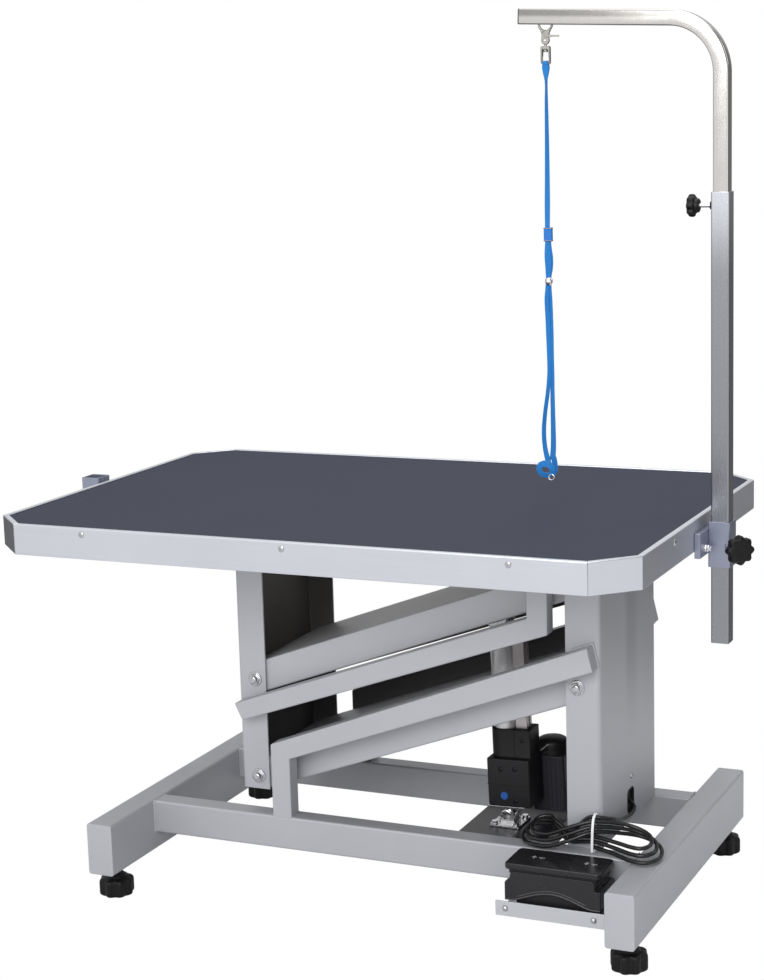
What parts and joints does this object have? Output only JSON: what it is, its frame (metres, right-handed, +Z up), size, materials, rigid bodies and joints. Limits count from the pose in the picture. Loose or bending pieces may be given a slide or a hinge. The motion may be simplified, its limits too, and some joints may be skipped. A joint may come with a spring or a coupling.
{
  "type": "electric dog grooming table",
  "caption": "Electric Z-lift grooming table: rubber-topped chamfered table on a parallel-arm lift with foot switch, square grooming arm and noose.",
  "frame": {"origin": "on the floor, under the middle of the whole object's length and width (table, left socket and clamp knob included)", "axes": "+Z up, +X along the table towards the grooming arm's pole, +Y towards the rear; the foot switch is at -Y"},
  "size_m": [1.2318, 0.759, 1.4476],
  "materials": {
    "frame_paint": "satin light grey metallic enamel",
    "black_paint": "satin black enamel",
    "chrome": "bright zinc or chrome plating",
    "pole_steel": "polished and lightly brushed stainless tube",
    "socket_steel": "satin plated steel",
    "apron_metal": "brushed along its length",
    "tray_paint": "satin grey enamel",
    "mat_rubber": "dark blue-grey, finely textured, matt",
    "board_wood": "plywood, seen only from below",
    "black_plastic": "fine moulded grain",
    "cable_jacket": "smooth flexible jacket",
    "actuator_metal": "extruded and anodised",
    "webbing": "woven nylon",
    "blue_plastic": "moulded"
  },
  "bodies": {
    "base": {"left_cross_foot": "frame_paint", "right_cross_foot": "frame_paint", "front_rail": "frame_paint", "rear_rail": "frame_paint", "base_plate": "black_paint", "actuator_clevis": "chrome", "clevis_pin": "chrome", "right_column": "frame_paint", "lower_brace_front": "frame_paint", "lower_brace_rear": "frame_paint", "switch_tray": "tray_paint", "pedal_housing": "black_plastic", "switch_cable": "cable_jacket", "right_lower_bolt_front": "chrome", "right_lower_bolt_rear": "chrome", "right_upper_bolt_front": "chrome", "right_upper_bolt_rear": "chrome"},
    "lower_arm": {"lower_arm": "frame_paint"},
    "carriage": {"left_column": "frame_paint", "upper_brace_front": "frame_paint", "upper_brace_rear": "frame_paint", "table_board": "board_wood", "rubber_mat": "mat_rubber", "apron_front": "apron_metal", "apron_rear": "apron_metal", "apron_right": "apron_metal", "apron_left": "apron_metal", "right_socket": "socket_steel", "left_socket": "socket_steel", "bracket_bolt": "chrome", "left_lower_bolt_front": "chrome", "left_lower_bolt_rear": "chrome", "left_upper_bolt_front": "chrome", "left_upper_bolt_rear": "chrome"},
    "upper_arm": {"upper_arm": "frame_paint", "actuator_lug": "frame_paint"},
    "actuator": {"actuator_mount": "actuator_metal", "actuator_gearbox": "black_plastic", "actuator_sleeve": "black_plastic", "actuator_tube": "actuator_metal", "actuator_profile": "actuator_metal", "motor_housing": "black_plastic", "motor": "black_plastic"},
    "rod": {"actuator_rod": "chrome", "rod_pin": "chrome"},
    "pedal": {"pedal": "black_plastic"},
    "foot_front_left": {"front_left_foot": "black_plastic"},
    "foot_front_right": {"front_right_foot": "black_plastic"},
    "foot_rear_left": {"rear_left_foot": "black_plastic"},
    "foot_rear_right": {"rear_right_foot": "black_plastic"},
    "pole": {"outer_pole": "pole_steel"},
    "clamp_knob": {"clamp_knob": "black_plastic"},
    "height_knob": {"height_knob": "black_plastic"},
    "sliding_arm": {"sliding_arm": "pole_steel"},
    "hook": {"snap_hook": "chrome"},
    "hook_lever": {"hook_lever": "chrome"},
    "eye": {"swivel_eye": "chrome"},
    "noose": {"noose_strap": "webbing"},
    "slider": {"strap_slider": "blue_plastic"},
    "bead": {"strap_bead": "blue_plastic"}
  },
  "joints": [
    {"name": "lift", "type": "hinge", "parent": "base", "child": "lower_arm", "pos_m": [0.3664, 0, 0.3984], "axis": [0, 1, 0], "range_deg": [-3, 38]},
    {"name": "table_level", "type": "hinge", "parent": "lower_arm", "child": "carriage", "pos_m": [-0.2095, 0, 0.1896], "axis": [0, 1, 0], "range_deg": [-38.1, 3.1]},
    {"name": "upper_arm_swing", "type": "hinge", "parent": "base", "child": "upper_arm", "pos_m": [0.3664, 0, 0.5681], "axis": [0, 1, 0], "range_deg": [-3.1, 38.1]},
    {"name": "actuator_tilt", "type": "hinge", "parent": "base", "child": "actuator", "pos_m": [0.1936, 0, 0.128], "axis": [0, 1, 0], "range_deg": [-3.1, 0.3]},
    {"name": "rod_slide", "type": "slide", "parent": "actuator", "child": "rod", "axis": [-0.0292, 0, 0.9996], "range_m": [-0.0108, 0.1346]},
    {"name": "arm_height_in_socket", "type": "slide", "parent": "carriage", "child": "pole", "axis": [0, 0, 1], "range_m": [-0.02, 0.11]},
    {"name": "clamp_knob_turn", "type": "hinge", "parent": "carriage", "child": "clamp_knob", "pos_m": [0.57045, -0.00085, 0.608], "axis": [0.7071, -0.7071, 0], "continuous": true},
    {"name": "arm_telescope", "type": "slide", "parent": "pole", "child": "sliding_arm", "axis": [0, 0, 1], "range_m": [-0.02, 0.25]},
    {"name": "height_knob_turn", "type": "hinge", "parent": "pole", "child": "height_knob", "pos_m": [0.5427, 0.0144, 1.139], "axis": [-1, 0, 0], "continuous": true},
    {"name": "hook_swing", "type": "hinge", "parent": "sliding_arm", "child": "hook", "pos_m": [0.2717, 0.0144, 1.42194], "axis": [0, 1, 0], "range_deg": [-6, 40]},
    {"name": "hook_lever_press", "type": "hinge", "parent": "hook", "child": "hook_lever", "pos_m": [0.2747, 0.0144, 1.40364], "axis": [0, 1, 0], "range_deg": [0, 20], "stiffness_Nm_per_rad": 0.05},
    {"name": "swivel", "type": "hinge", "parent": "hook", "child": "eye", "pos_m": [0.2714, 0.0144, 1.39114], "axis": [0, 0, 1], "continuous": true},
    {"name": "strap_swing", "type": "hinge", "parent": "eye", "child": "noose", "pos_m": [0.2714, 0.0144, 1.36194], "axis": [1, 0, 0], "range_deg": [-12, 12]},
    {"name": "slider_shift", "type": "slide", "parent": "noose", "child": "slider", "axis": [0, 0, 1], "range_m": [-0.03, 0.1]},
    {"name": "bead_shift", "type": "slide", "parent": "noose", "child": "bead", "axis": [0, 0, 1], "range_m": [-0.07, 0.02]},
    {"name": "pedal_rock", "type": "hinge", "parent": "base", "child": "pedal", "pos_m": [0.36, -0.2215, 0.1], "axis": [0, 1, 0], "range_deg": [-5, 5], "stiffness_Nm_per_rad": 20},
    {"name": "level_front_left", "type": "slide", "parent": "base", "child": "foot_front_left", "axis": [0, 0, 1], "range_m": [-0.02, 0]},
    {"name": "level_front_right", "type": "slide", "parent": "base", "child": "foot_front_right", "axis": [0, 0, 1], "range_m": [-0.02, 0]},
    {"name": "level_rear_left", "type": "slide", "parent": "base", "child": "foot_rear_left", "axis": [0, 0, 1], "range_m": [-0.02, 0]},
    {"name": "level_rear_right", "type": "slide", "parent": "base", "child": "foot_rear_right", "axis": [0, 0, 1], "range_m": [-0.02, 0]}
  ],
  "couplings": [
    {"joint": "table_level", "follows": "lift", "ratio": -1},
    {"joint": "upper_arm_swing", "follows": "lift", "ratio": 1},
    {"joint": "actuator_tilt", "follows": "lift", "ratio": -0.08},
    {"joint": "rod_slide", "follows": "lift", "m_per_rad": 0.2025}
  ]
}
